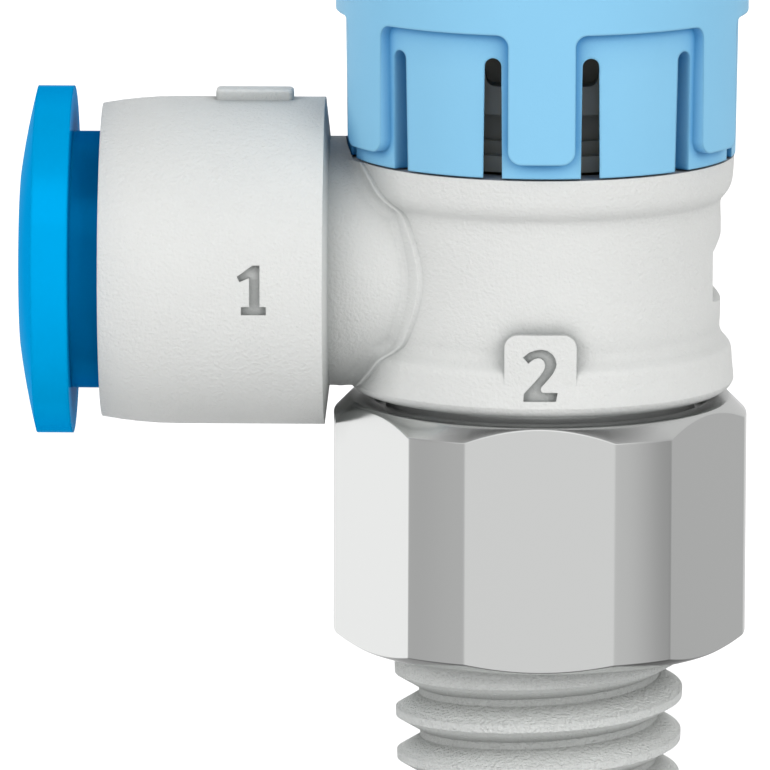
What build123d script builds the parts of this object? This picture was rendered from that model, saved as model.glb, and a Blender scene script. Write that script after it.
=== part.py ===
from build123d import *
from math import cos, radians, sin, tan
import os

os.makedirs("parts", exist_ok=True)

# One-way flow control valve: an elbow housing that swivels on a hexagon stud, with a
# push-in tube port on its side and a regulating knob on top. Millimetres, +Z up. The
# origin is on the stud's axis, level with the hexagon's lower face, and the tube port
# points towards -X.

# Clearances
running = 0.05  # between turned pieces that slide or turn on each other
moulded = 0.10  # between moulded pieces that turn past each other
seal_gap = 0.02  # between a seal and the wall that it wipes
skirt_gap = 0.05  # between the knob's skirt and the neck that it turns past
spare = 1.0  # how far a cutting shape runs on past what it cuts

# Stud
hex_across_flats = 13.0
hex_corner_radius = 6.964
hex_height = 8.38
hex_low_face_radius = 6.35
hex_low_chamfer_angle = 30
hex_top_face_radius = 6.56
hex_top_chamfer_angle = 45
thread_collar_radius = 4.92
thread_collar_height = 1.2
thread_pitch = 1.477
thread_depth = 0.8
thread_crest_flat = 0.275
thread_root_flat = 0.24
thread_turns = 4
thread_taper = 1 / 32  # change of radius along the thread
port_passage_radius = 2.3
hex_recess_radius = 5.69
hex_recess_depth = 0.4
collar_radius = 5.2
collar_top = 9.2
spigot_radius = 4.72
spigot_top = 16.5
spigot_bore_radius = 3.2
spigot_bore_floor = 8.0
spigot_window_radius = 1.15
spigot_window_count = 4

# Swivel seals, washer and retaining ring
seal_groove_width = 1.05
seal_section = 0.85
lower_seal_height = 10.55
upper_seal_height = 15.05
washer_thickness = 0.25
washer_radius = 5.6
snap_ring_low = 15.98
snap_ring_thickness = 0.35
snap_ring_radius = 5.15
snap_groove_depth = 0.4
snap_ring_gap = 40

# Housing body, measured across its own vertical axis
housing_bottom = 8.69
housing_top = 16.66
waist_radius = 6.03
lower_flange_radius = 6.51
lower_draft_radius = 6.45
lower_draft_height = 9.75
lower_shoulder_radius = 6.37
lower_shoulder_height = 10.2
lower_slope_height = 10.4
waist_low_height = 10.75
waist_high_height = 15.05
waist_straight_length = 0.2
waist_blend_rise = 0.04
waist_blend_length = 0.14
upper_slope_height = 15.38
upper_shoulder_radius = 6.41
upper_shoulder_height = 15.74
upper_draft_radius = 6.455
upper_draft_height = 16.1
upper_flange_radius = 6.483
bottom_edge_radius = 0.42
flow_groove_radius = 5.2
flow_groove_height = 2.4
counterbore_radius = 5.85
top_counterbore_radius = 5.3
body_overrun = 1.2  # extra height at both ends of the body, trimmed off once the neck is blended in
edge_overrun = 0.03  # how far the cut that rounds the lower edge runs on past it

# Tube port, measured along its own axis from the stud's axis
port_height = 12.92
barrel_mouth = 14.74
barrel_root = 7.26
barrel_full_radius = 5.515
barrel_mouth_radius = 5.28
barrel_swell_end = 12.2
barrel_edge_radius = 0.25
neck_radius = 4.2
neck_start = 7.1
neck_end_radius = 0.15
neck_blend_radius = 0.3
neck_collar_radius = 4.58
neck_collar_rise = 0.12
neck_collar_edge_radius = 0.07
tube_radius = 3.0
tube_fit = 0.05
tube_stop = 5.6
port_channel_radius = 2.0
seal_seat = 8.3
seal_seat_radius = 4.39
tube_seal_length = 1.6
support_ring_length = 0.5
grip_ring_thickness = 0.45
grip_hub_width = 0.6
grip_teeth = 12
grip_tooth_slit = 0.25
sleeve_mouth = 13.1
sleeve_lip = 0.7
sleeve_wall = 0.22

# Release ring
ring_back = 15.72
ring_rim_edge = 16.93
ring_rim_radius = 5.85
ring_dome_middle = (17.31, 4.08)
ring_dome_top = 17.46
ring_bore_radius = 3.15
ring_sleeve_radius = 4.33
ring_nose_radius = 3.85
ring_barb_radius = 4.05
ring_nose_slits = 4
ring_nose_slit_width = 0.5
ring_nose_slit_length = 1.9
ring_edge_radius = 0.13
ring_stop_gap = 0.18  # left between the rim and the housing when the ring is pushed home
ring_inner_gap = 0.25  # left between the ring and the pieces inside the port then

# Locating tab, number pad and moulded recess on the housing
tab_start = 8.32
tab_length = 2.61
tab_width = 0.88
tab_height = 0.35
pad_width = 2.4
pad_top = 11.49
pad_corner_radius = 0.47
recess_depth = 0.27
recess_floor_low = 11.89
recess_floor_high = 13.54
recess_low_slope = 30
recess_high_slope = 57

# Throttle insert and check seal inside the spigot
insert_foot = 8.9
orifice_radius = 1.2
orifice_length = 1.0
insert_body_radius = 2.75
insert_seal_floor = 2.3
check_seal_start = 9.4
check_seal_length = 1.6
check_seal_lip = 0.28
insert_window_height = 12.0
insert_window_radius = 0.8
insert_window_count = 4
insert_shoulder = 13.0
insert_flange_radius = 4.4
insert_flange_height = 0.5
insert_neck_radius = 3.3
insert_neck_top = 20.6
insert_o_ring_height = 15.0
insert_o_ring_section = 0.62
insert_groove_width = 0.8
screw_bore_radius = 1.8
screw_thread_radius = 2.0
screw_thread_start = 16.4

# Throttle screw
screw_stroke = 2.5
screw_tip = 8.75
screw_tip_radius = 0.5
screw_relief_radius = 1.5
piston_start = 12.75
piston_end = 15.6
screw_o_ring_height = 13.35
screw_o_ring_section = 0.6
screw_groove_width = 0.75
screw_head_flats = 4.4
screw_head_height = 1.15

# Bonnet, the dark fixed neck under the knob
bonnet_flange_radius = 5.4
bonnet_flange_top = 17.3
bonnet_step_radius = 5.0
bonnet_step_top = 17.75
bonnet_neck_radius = 4.75
bonnet_collar_radius = 5.3
bonnet_collar_start = 18.66
bonnet_top = 24.1
bonnet_lead_in = 0.25
bonnet_pocket_floor = 4.2
bonnet_pocket_bottom = 19.62
bonnet_pocket_half_width = 1.8
bonnet_pocket_draft = 11
bonnet_pocket_corner = 0.3
bonnet_pocket_count = 4

# Knob
knob_radius = 6.92
knob_skirt_bottom = 16.73
knob_skirt_inner_radius = 5.55
knob_top = 26.0
knob_top_edge_radius = 0.5
knob_roof = 24.2
panel_count = 6
panel_floor_low_radius = 6.515
panel_floor_high_radius = 6.585
panel_top = 21.55
panel_corner_radius = 0.4
tongue_width = 2.225
tongue_bottom = 17.25
tongue_corner_radius = 0.45
slot_offset = 1.612  # from the middle of the tongue, square to it
slot_top = 20.74
slot_top_width = 0.55
slot_bottom_width = 0.62
bead_height = 0.95
socket_boss_radius = 3.3

# Sizes that follow from those above
washer_top = collar_top + washer_thickness
housing_bore_radius = spigot_radius + running
snap_groove_floor = spigot_radius - snap_groove_depth
snap_ring_seat = snap_ring_low - running
seal_groove_floor = spigot_radius - seal_section
tube_bore_radius = tube_radius + tube_fit
seal_seat_end = seal_seat + tube_seal_length
support_end = seal_seat_end + support_ring_length
grip_end = support_end + grip_ring_thickness
sleeve_step = sleeve_mouth - sleeve_lip
insert_top_radius = spigot_bore_radius - seal_gap
insert_groove_floor = spigot_bore_radius - insert_o_ring_section
piston_radius = screw_bore_radius - running
screw_groove_floor = screw_bore_radius - screw_o_ring_section
release_travel = ring_back - barrel_mouth - ring_stop_gap
ring_sleeve_end = sleeve_mouth + release_travel + ring_inner_gap
ring_nose_end = grip_end + release_travel + ring_inner_gap
ring_barb_length = sleeve_step - running - ring_nose_end
bonnet_foot = housing_top + moulded
screw_head_start = insert_neck_top + 3 * running
screw_top = screw_head_start + screw_head_height
socket_ceiling = screw_top + screw_stroke + moulded
socket_flats = screw_head_flats + 2 * running
front = -90  # direction of the knob's middle tongue and of the number pad

port_axis = Axis((0, 0, port_height), (-1, 0, 0))
port_plane = Plane(origin=(0, 0, port_height), x_dir=(-1, 0, 0), z_dir=(0, 1, 0))


def outline(*corners):
    """A closed outline of straight runs. Each corner is (across, up) or (across, up, fillet radius)."""
    radii = [corner[2] if len(corner) > 2 else 0 for corner in corners]
    with BuildLine() as closed:
        FilletPolyline([corner[:2] for corner in corners], radius=radii, close=True)
    return closed.edges()


def side_plane(angle, distance=0):
    """A plane that faces outwards at an angle about the stud's axis, with its second direction up."""
    out = Vector(cos(radians(angle)), sin(radians(angle)), 0)
    across = Vector(-sin(radians(angle)), cos(radians(angle)), 0)
    return Plane(origin=out * distance, x_dir=across, z_dir=out)


def body_outline(rise):
    """The closed outline of the housing's body, with its side moved outwards by rise."""
    places = [
        (lower_flange_radius, housing_bottom - body_overrun),
        (lower_flange_radius, housing_bottom - moulded),
        (lower_flange_radius, housing_bottom + bottom_edge_radius),
        (lower_draft_radius, lower_draft_height),
        (lower_shoulder_radius, lower_shoulder_height),
        ((lower_shoulder_radius + waist_radius) / 2, lower_slope_height),
        (waist_radius + waist_blend_rise, waist_low_height - waist_blend_length),
        (waist_radius, waist_low_height),
        (waist_radius, waist_low_height + waist_straight_length),
        (waist_radius, port_height),
        (waist_radius, waist_high_height - waist_straight_length),
        (waist_radius, waist_high_height),
        (waist_radius + waist_blend_rise, waist_high_height + waist_blend_length),
        ((upper_shoulder_radius + waist_radius) / 2, upper_slope_height),
        (upper_shoulder_radius, upper_shoulder_height),
        (upper_draft_radius, upper_draft_height),
        (upper_flange_radius, housing_top),
        (upper_flange_radius, housing_top + body_overrun),
    ]
    with BuildLine() as closed:
        side = Spline([(radius + rise, height) for radius, height in places])
        Polyline(side @ 1, (0, housing_top + body_overrun), (0, housing_bottom - body_overrun), side @ 0)
    return closed.edges()


def o_ring(inner_radius, height, section):
    """A seal ring about the stud's axis."""
    with BuildPart() as ring:
        with BuildSketch(Plane.XZ):
            with Locations((inner_radius + section / 2, height)):
                Circle(section / 2 - seal_gap / 2)
        revolve(axis=Axis.Z)
    return ring.part


# Stud: taper thread blank, hexagon, collar and hollow spigot in one turned piece
low_chamfer_rise = (hex_corner_radius - hex_low_face_radius) * tan(radians(hex_low_chamfer_angle))
top_chamfer_rise = (hex_corner_radius - hex_top_face_radius) * tan(radians(hex_top_chamfer_angle))
flank = (thread_pitch - thread_crest_flat - thread_root_flat) / 2
thread_outline = []
thread_level = -thread_collar_height
for turn in range(thread_turns):
    crest = thread_collar_radius - thread_taper * (turn * thread_pitch)
    root = crest - thread_depth
    thread_outline += [
        (crest, thread_level),
        (root, thread_level - flank),
        (root, thread_level - flank - thread_root_flat),
        (crest - thread_taper * thread_pitch, thread_level - 2 * flank - thread_root_flat),
    ]
    thread_level -= thread_pitch
end_crest = thread_collar_radius - thread_taper * thread_turns * thread_pitch
thread_end = thread_level - thread_crest_flat - flank
thread_outline += [
    (end_crest, thread_level),
    (end_crest - thread_depth, thread_level - flank),
    (end_crest - thread_depth, thread_end),
]

with BuildPart() as hex_stud:
    with BuildSketch(Plane.XZ):
        make_face(outline(
            (port_passage_radius, thread_end),
            *reversed(thread_outline),
            (thread_collar_radius, 0),
            (hex_low_face_radius, 0),
            (hex_corner_radius, low_chamfer_rise),
            (hex_corner_radius, hex_height - top_chamfer_rise),
            (hex_top_face_radius, hex_height),
            (hex_recess_radius, hex_height),
            (hex_recess_radius, hex_height - hex_recess_depth),
            (collar_radius, hex_height - hex_recess_depth),
            (collar_radius, collar_top),
            (spigot_radius, collar_top),
            (spigot_radius, spigot_top),
            (spigot_bore_radius, spigot_top),
            (spigot_bore_radius, spigot_bore_floor),
            (port_passage_radius, spigot_bore_floor),
        ))
    revolve(axis=Axis.Z)
    # The flats are milled off a ring as tall as the hexagon
    with BuildSketch(Plane.XY):
        Circle(hex_corner_radius + spare)
        RegularPolygon(hex_across_flats / 2, 6, major_radius=False, mode=Mode.SUBTRACT)
    extrude(amount=hex_height, mode=Mode.SUBTRACT)
    for seal_height in (lower_seal_height, upper_seal_height):
        with BuildSketch(Plane.XY.offset(seal_height - seal_groove_width / 2)):
            Circle(spigot_radius + spare)
            Circle(seal_groove_floor, mode=Mode.SUBTRACT)
        extrude(amount=seal_groove_width, mode=Mode.SUBTRACT)
    with BuildSketch(Plane.XY.offset(snap_ring_low)):
        Circle(spigot_radius + spare)
        Circle(snap_groove_floor, mode=Mode.SUBTRACT)
    extrude(amount=snap_ring_thickness + running, mode=Mode.SUBTRACT)
    for window in range(spigot_window_count):
        with BuildSketch(side_plane(180 + window * 360 / spigot_window_count)):
            with Locations((0, port_height)):
                Circle(spigot_window_radius)
        extrude(amount=spigot_radius + spare, mode=Mode.SUBTRACT)
hex_stud.part.label = "hex_stud"
export_step(hex_stud.part, "parts/hex_stud.step")

# Swivel seals round the spigot
lower_swivel_seal = o_ring(seal_groove_floor, lower_seal_height, seal_section)
lower_swivel_seal.label = "lower_swivel_seal"
export_step(lower_swivel_seal, "parts/lower_swivel_seal.step")
upper_swivel_seal = o_ring(seal_groove_floor, upper_seal_height, seal_section)
upper_swivel_seal.label = "upper_swivel_seal"
export_step(upper_swivel_seal, "parts/upper_swivel_seal.step")

# Thrust washer that the housing turns on
with BuildPart() as thrust_washer:
    with BuildSketch(Plane.XY.offset(collar_top)):
        Circle(washer_radius)
        Circle(spigot_radius + running, mode=Mode.SUBTRACT)
    extrude(amount=washer_thickness)
thrust_washer.part.label = "thrust_washer"
export_step(thrust_washer.part, "parts/thrust_washer.step")

# Open spring ring that keeps the housing on the spigot
with BuildPart() as retaining_ring:
    with BuildSketch(Plane.XY.offset(snap_ring_low)):
        Circle(snap_ring_radius)
        Circle(snap_groove_floor + seal_gap, mode=Mode.SUBTRACT)
        with BuildLine():
            reach = 2 * snap_ring_radius
            half = radians(snap_ring_gap / 2)
            Polyline(
                (0, 0), (reach, -reach * tan(half)), (reach, reach * tan(half)), (0, 0)
            )
        make_face(mode=Mode.SUBTRACT)
    extrude(amount=snap_ring_thickness)
retaining_ring.part.label = "retaining_ring"
export_step(retaining_ring.part, "parts/retaining_ring.step")

# Raised pad for the stud port's number, cut to the lower flange's curve
with BuildPart() as number_pad:
    with BuildSketch(side_plane(front, waist_radius - pad_corner_radius)):
        make_face(outline(
            (-pad_width / 2, lower_draft_height - pad_corner_radius),
            (pad_width / 2, lower_draft_height - pad_corner_radius),
            (pad_width / 2, pad_top, pad_corner_radius),
            (-pad_width / 2, pad_top, pad_corner_radius),
        ))
    extrude(amount=spare)
    with BuildSketch(Plane.XY.offset(housing_bottom)):
        Circle(lower_draft_radius)
    extrude(amount=housing_top - housing_bottom, mode=Mode.INTERSECT)

# Locating tab on the barrel's crown, rooted in the barrel's wall
with BuildPart() as locating_tab:
    with BuildSketch(Plane.XY.offset(port_height + barrel_full_radius - tab_height)):
        with Locations((-tab_start - tab_length / 2, 0)):
            Rectangle(tab_length, tab_width)
    extrude(amount=2 * tab_height)
    fillet(locating_tab.edges().filter_by(Axis.Z), tab_height / 2)
    fillet(locating_tab.faces().sort_by(Axis.Z)[-1].edges(), tab_height / 3)

# Collar that the neck grows out of, which stands a little proud of the body's curves
with BuildPart() as neck_collar:
    with BuildSketch(port_plane):
        make_face(outline((0, 0), (barrel_root, 0), (barrel_root, neck_collar_radius), (0, neck_collar_radius)))
    revolve(axis=port_axis)
    with BuildSketch(Plane.XZ):
        make_face(body_outline(neck_collar_rise))
    revolve(axis=Axis.Z, mode=Mode.INTERSECT)
    fillet(neck_collar.edges().filter_by(lambda edge: edge.center().X < -neck_radius / 2), neck_collar_edge_radius)

# Crown of the neck, which rises past the body's top face and ends just short of the knob's skirt
with BuildPart() as neck_crown:
    with BuildSketch(port_plane):
        make_face(outline((0, 0), (barrel_root, 0), (barrel_root, neck_radius), (0, neck_radius)))
    revolve(axis=port_axis)
    with BuildSketch(Plane.XY.offset(housing_top - spare)):
        Rectangle(2 * barrel_root, 2 * neck_radius)
    extrude(amount=2 * spare, mode=Mode.INTERSECT)
    with BuildSketch(Plane.XY.offset(housing_top - 2 * spare)):
        Circle(panel_floor_low_radius + skirt_gap)
    extrude(amount=4 * spare, mode=Mode.SUBTRACT)
    split(bisect_by=Plane.YZ, keep=Keep.BOTTOM)

# Housing: moulded elbow with a ribbed body, a necked barrel, a tab, a pad and a recess
with BuildPart() as housing:
    with BuildSketch(Plane.XZ):
        make_face(body_outline(0))
    revolve(axis=Axis.Z)
    add(neck_collar.part)
    with BuildSketch(port_plane):
        make_face(outline((0, 0), (barrel_root, 0), (barrel_root, neck_radius), (0, neck_radius)))
    revolve(axis=port_axis)
    fillet(
        [edge for edge in housing.edges(Select.NEW) if edge.center().X > -neck_start],
        neck_blend_radius,
    )
    # Both ends are trimmed flat, the neck's collar and blend too, so that only its crown stands higher
    with BuildSketch(Plane.XY.offset(housing_bottom - body_overrun)):
        Rectangle(2 * barrel_mouth, 2 * barrel_mouth)
    extrude(amount=body_overrun, mode=Mode.SUBTRACT)
    with BuildSketch(Plane.XY.offset(housing_top)):
        Circle(neck_start)
    extrude(amount=2 * body_overrun, mode=Mode.SUBTRACT)
    add(neck_crown.part)
    with BuildSketch(Plane.XY.offset(tongue_bottom - moulded)):
        Circle(knob_radius + moulded)
    extrude(amount=2 * body_overrun, mode=Mode.SUBTRACT)
    # The lower edge is rounded by a turned cut that runs out under the neck
    arc_inset = bottom_edge_radius * (1 - cos(radians(45)))
    with BuildSketch(Plane.XZ):
        with BuildLine():
            edge_round = ThreePointArc(
                (lower_flange_radius - bottom_edge_radius - edge_overrun, housing_bottom - edge_overrun),
                (lower_flange_radius - arc_inset, housing_bottom + arc_inset),
                (lower_flange_radius + edge_overrun, housing_bottom + bottom_edge_radius + edge_overrun),
            )
            Polyline(
                edge_round @ 1,
                (lower_flange_radius + bottom_edge_radius, housing_bottom - edge_overrun),
                edge_round @ 0,
            )
        make_face()
    revolve(axis=Axis.Z, mode=Mode.SUBTRACT)
    with BuildSketch(port_plane) as barrel_section:
        with BuildLine():
            flank_line = Polyline(
                (neck_start - 2 * neck_end_radius, 0),
                (neck_start - 2 * neck_end_radius, neck_radius),
                (neck_start, neck_radius),
                (barrel_root, barrel_full_radius),
                (barrel_swell_end, barrel_full_radius),
            )
            swell = TangentArc(
                flank_line @ 1, (barrel_mouth, barrel_mouth_radius), tangent=flank_line % 1
            )
            Polyline(swell @ 1, (barrel_mouth, 0), (neck_start - 2 * neck_end_radius, 0))
        make_face()
        fillet(
            barrel_section.vertices().filter_by(lambda corner: abs(corner.Z - port_height - neck_radius) < running
                                                and abs(corner.X + neck_start) < running),
            neck_end_radius,
        )
        fillet(
            barrel_section.vertices().filter_by(lambda corner: corner.Z - port_height > neck_radius
                                                and corner.X != -barrel_swell_end),
            barrel_edge_radius,
        )
    revolve(axis=port_axis)
    add(locating_tab.part)
    add(number_pad.part)
    # Flat recess on the far side of the waist, with a sloped ledge at each end
    recess_floor = waist_radius - recess_depth
    recess_reach = 2 * recess_depth
    with BuildSketch(Plane.XZ):
        make_face(outline(
            (recess_floor, recess_floor_low),
            (recess_floor + recess_reach, recess_floor_low - recess_reach * tan(radians(recess_low_slope))),
            (recess_floor + recess_reach, recess_floor_high + recess_reach * tan(radians(recess_high_slope))),
            (recess_floor, recess_floor_high),
        ))
    extrude(amount=waist_radius, both=True, mode=Mode.SUBTRACT)
    # Bore for the spigot, with a flow groove level with the port and a step at each end
    with BuildSketch(Plane.XZ):
        make_face(outline(
            (0, housing_bottom - spare),
            (counterbore_radius, housing_bottom - spare),
            (counterbore_radius, washer_top + running),
            (housing_bore_radius, washer_top + running),
            (housing_bore_radius, port_height - flow_groove_height / 2),
            (flow_groove_radius, port_height - flow_groove_height / 2),
            (flow_groove_radius, port_height + flow_groove_height / 2),
            (housing_bore_radius, port_height + flow_groove_height / 2),
            (housing_bore_radius, snap_ring_seat),
            (top_counterbore_radius, snap_ring_seat),
            (top_counterbore_radius, housing_top + spare),
            (0, housing_top + spare),
        ))
    revolve(axis=Axis.Z, mode=Mode.SUBTRACT)
    # Stepped bore of the tube port
    with BuildSketch(port_plane):
        make_face(outline(
            (0, 0),
            (barrel_mouth + spare, 0),
            (barrel_mouth + spare, seal_seat_radius),
            (seal_seat, seal_seat_radius),
            (seal_seat, tube_bore_radius),
            (tube_stop, tube_bore_radius),
            (tube_stop, port_channel_radius),
            (0, port_channel_radius),
        ))
    revolve(axis=port_axis, mode=Mode.SUBTRACT)
housing.part.label = "housing"
export_step(housing.part, "parts/housing.step")

# Tube seal, a lip seal whose open side faces the air
seal_lip_radius = tube_bore_radius + seal_gap / 2
seal_outer_radius = seal_seat_radius - seal_gap
seal_middle = (seal_lip_radius + seal_outer_radius) / 2
with BuildPart() as tube_seal:
    with BuildSketch(port_plane):
        make_face(outline(
            (seal_seat, seal_outer_radius),
            (seal_seat_end, seal_outer_radius),
            (seal_seat_end, seal_lip_radius + tube_seal_length / 4),
            (seal_seat_end - tube_seal_length / 4, seal_lip_radius),
            (seal_seat + tube_seal_length / 8, seal_lip_radius),
            (seal_seat, seal_lip_radius + tube_seal_length / 8),
            (seal_seat, seal_middle - tube_seal_length / 8),
            (seal_seat + tube_seal_length / 2, seal_middle),
            (seal_seat, seal_middle + tube_seal_length / 8),
        ))
    revolve(axis=port_axis)
tube_seal.part.label = "tube_seal"
export_step(tube_seal.part, "parts/tube_seal.step")

# Support ring that the grip ring's teeth bend back into
grip_hub_radius = seal_seat_radius - grip_hub_width
with BuildPart() as support_ring:
    with BuildSketch(port_plane):
        make_face(outline(
            (seal_seat_end, ring_bore_radius),
            (seal_seat_end + support_ring_length / 3, ring_bore_radius),
            (support_end, grip_hub_radius),
            (support_end, seal_outer_radius),
            (seal_seat_end, seal_outer_radius),
        ))
    revolve(axis=port_axis)
support_ring.part.label = "support_ring"
export_step(support_ring.part, "parts/support_ring.step")

# Grip ring, a dished sheet ring whose teeth hold the tube
grip_tooth_radius = tube_bore_radius + running
with BuildPart() as grip_ring:
    with BuildSketch(port_plane):
        make_face(outline(
            (support_end, seal_outer_radius),
            (grip_end, seal_outer_radius),
            (grip_end, grip_hub_radius),
            (support_end + grip_ring_thickness / 4, grip_tooth_radius),
            (support_end - grip_ring_thickness / 4, grip_tooth_radius),
            (support_end, grip_hub_radius - running),
        ))
    revolve(axis=port_axis)
    tooth_plane = Plane(origin=(-support_end, 0, port_height), z_dir=(-1, 0, 0))
    with BuildSketch(tooth_plane.offset(-spare)):
        with PolarLocations((grip_hub_radius + grip_tooth_radius) / 2 - running, grip_teeth):
            Rectangle(grip_hub_radius - grip_tooth_radius + running, grip_tooth_slit)
    extrude(amount=2 * spare, mode=Mode.SUBTRACT)
grip_ring.part.label = "grip_ring"
export_step(grip_ring.part, "parts/grip_ring.step")

# Retaining sleeve pressed into the barrel, which holds the grip ring in and the release ring captive
with BuildPart() as retaining_sleeve:
    with BuildSketch(port_plane):
        make_face(outline(
            (grip_end, seal_outer_radius - sleeve_wall),
            (grip_end, seal_outer_radius),
            (sleeve_mouth, seal_outer_radius),
            (sleeve_mouth, ring_nose_radius + running),
            (sleeve_step, ring_nose_radius + running),
            (sleeve_step, seal_outer_radius - sleeve_wall),
        ))
    revolve(axis=port_axis)
retaining_sleeve.part.label = "retaining_sleeve"
export_step(retaining_sleeve.part, "parts/retaining_sleeve.step")

# Release ring: domed rim, sleeve, and a slit nose with barbs behind the retaining sleeve
with BuildPart() as release_ring:
    with BuildSketch(port_plane) as ring_section:
        with BuildLine():
            ring_line = Polyline(
                (ring_dome_top, ring_bore_radius),
                (ring_nose_end, ring_bore_radius),
                (ring_nose_end, ring_nose_radius - running),
                (ring_nose_end + ring_barb_length / 2, ring_barb_radius),
                (ring_nose_end + ring_barb_length, ring_barb_radius),
                (ring_nose_end + ring_barb_length, ring_nose_radius),
                (ring_sleeve_end, ring_nose_radius),
                (ring_sleeve_end, ring_sleeve_radius),
                (ring_back, ring_sleeve_radius),
                (ring_back, ring_rim_radius),
                (ring_rim_edge, ring_rim_radius),
            )
            ThreePointArc(ring_line @ 1, ring_dome_middle, ring_line @ 0)
        make_face()
        fillet(
            ring_section.vertices().filter_by(
                lambda corner: corner.Z - port_height > ring_rim_radius - ring_edge_radius
            ),
            ring_edge_radius,
        )
    revolve(axis=port_axis)
    with BuildSketch(Plane(origin=(-ring_nose_end, 0, port_height), z_dir=(-1, 0, 0))):
        with PolarLocations((ring_bore_radius + ring_barb_radius) / 2, ring_nose_slits):
            Rectangle(2 * (ring_barb_radius - ring_bore_radius), ring_nose_slit_width)
    extrude(amount=ring_nose_slit_length, mode=Mode.SUBTRACT)
release_ring.part.label = "release_ring"
export_step(release_ring.part, "parts/release_ring.step")

# Throttle insert: orifice, seal groove, air windows, flange on the spigot's end and threaded neck
insert_flange_top = spigot_top + insert_flange_height
with BuildPart() as throttle_insert:
    with BuildSketch(Plane.XZ):
        make_face(outline(
            (orifice_radius, insert_foot),
            (insert_body_radius, insert_foot),
            (insert_body_radius, check_seal_start),
            (insert_seal_floor, check_seal_start),
            (insert_seal_floor, check_seal_start + check_seal_length),
            (insert_body_radius, check_seal_start + check_seal_length),
            (insert_body_radius, insert_shoulder),
            (insert_top_radius, insert_shoulder),
            (insert_top_radius, spigot_top),
            (insert_flange_radius, spigot_top),
            (insert_flange_radius, insert_flange_top),
            (insert_neck_radius, insert_flange_top),
            (insert_neck_radius, insert_neck_top),
            (screw_thread_radius + running, insert_neck_top),
            (screw_thread_radius + running, screw_thread_start),
            (screw_bore_radius, screw_thread_start),
            (screw_bore_radius, insert_foot + orifice_length),
            (orifice_radius, insert_foot + orifice_length),
        ))
    revolve(axis=Axis.Z)
    with BuildSketch(Plane.XY.offset(insert_o_ring_height - insert_groove_width / 2)):
        Circle(spigot_bore_radius)
        Circle(insert_groove_floor, mode=Mode.SUBTRACT)
    extrude(amount=insert_groove_width, mode=Mode.SUBTRACT)
    for window in range(insert_window_count):
        with BuildSketch(side_plane(window * 360 / insert_window_count)):
            with Locations((0, insert_window_height)):
                Circle(insert_window_radius)
        extrude(amount=insert_body_radius + spare, mode=Mode.SUBTRACT)
throttle_insert.part.label = "throttle_insert"
export_step(throttle_insert.part, "parts/throttle_insert.step")

insert_seal = o_ring(insert_groove_floor, insert_o_ring_height, insert_o_ring_section)
insert_seal.label = "insert_seal"
export_step(insert_seal, "parts/insert_seal.step")

# Check seal, a collar whose lip lets air pass one way only
check_lip_radius = spigot_bore_radius - seal_gap
check_seal_end = check_seal_start + check_seal_length
check_hub_radius = (insert_seal_floor + insert_body_radius) / 2
with BuildPart() as check_seal:
    with BuildSketch(Plane.XZ):
        make_face(outline(
            (insert_seal_floor, check_seal_start),
            (check_hub_radius, check_seal_start),
            (check_hub_radius, check_seal_start + check_seal_length / 2),
            (check_lip_radius - check_seal_lip, check_seal_start),
            (check_lip_radius, check_seal_start),
            (check_lip_radius, check_seal_start + check_seal_lip),
            (insert_body_radius, check_seal_end - check_seal_lip),
            (insert_body_radius, check_seal_end),
            (insert_seal_floor, check_seal_end),
        ))
    revolve(axis=Axis.Z)
check_seal.part.label = "check_seal"
export_step(check_seal.part, "parts/check_seal.step")

# Throttle screw: cone, stem, sealed piston, thread and the hexagon that the knob turns
with BuildPart() as throttle_screw:
    with BuildSketch(Plane.XZ):
        make_face(outline(
            (0, screw_tip),
            (screw_tip_radius, screw_tip),
            (orifice_radius - running, insert_foot + orifice_length),
            (orifice_radius - running, piston_start),
            (piston_radius, piston_start),
            (piston_radius, piston_end),
            (screw_relief_radius, piston_end),
            (screw_relief_radius, screw_thread_start + 2 * running),
            (screw_thread_radius, screw_thread_start + 2 * running),
            (screw_thread_radius, screw_head_start),
            (0, screw_head_start),
        ))
    revolve(axis=Axis.Z)
    with BuildSketch(Plane.XY.offset(screw_o_ring_height - screw_groove_width / 2)):
        Circle(piston_radius)
        Circle(screw_groove_floor, mode=Mode.SUBTRACT)
    extrude(amount=screw_groove_width, mode=Mode.SUBTRACT)
    with BuildSketch(Plane.XY.offset(screw_head_start)):
        RegularPolygon(screw_head_flats / 2, 6, major_radius=False)
    extrude(amount=screw_head_height)
throttle_screw.part.label = "throttle_screw"
export_step(throttle_screw.part, "parts/throttle_screw.step")

screw_seal = o_ring(screw_groove_floor, screw_o_ring_height, screw_o_ring_section)
screw_seal.label = "screw_seal"
export_step(screw_seal, "parts/screw_seal.step")

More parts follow.
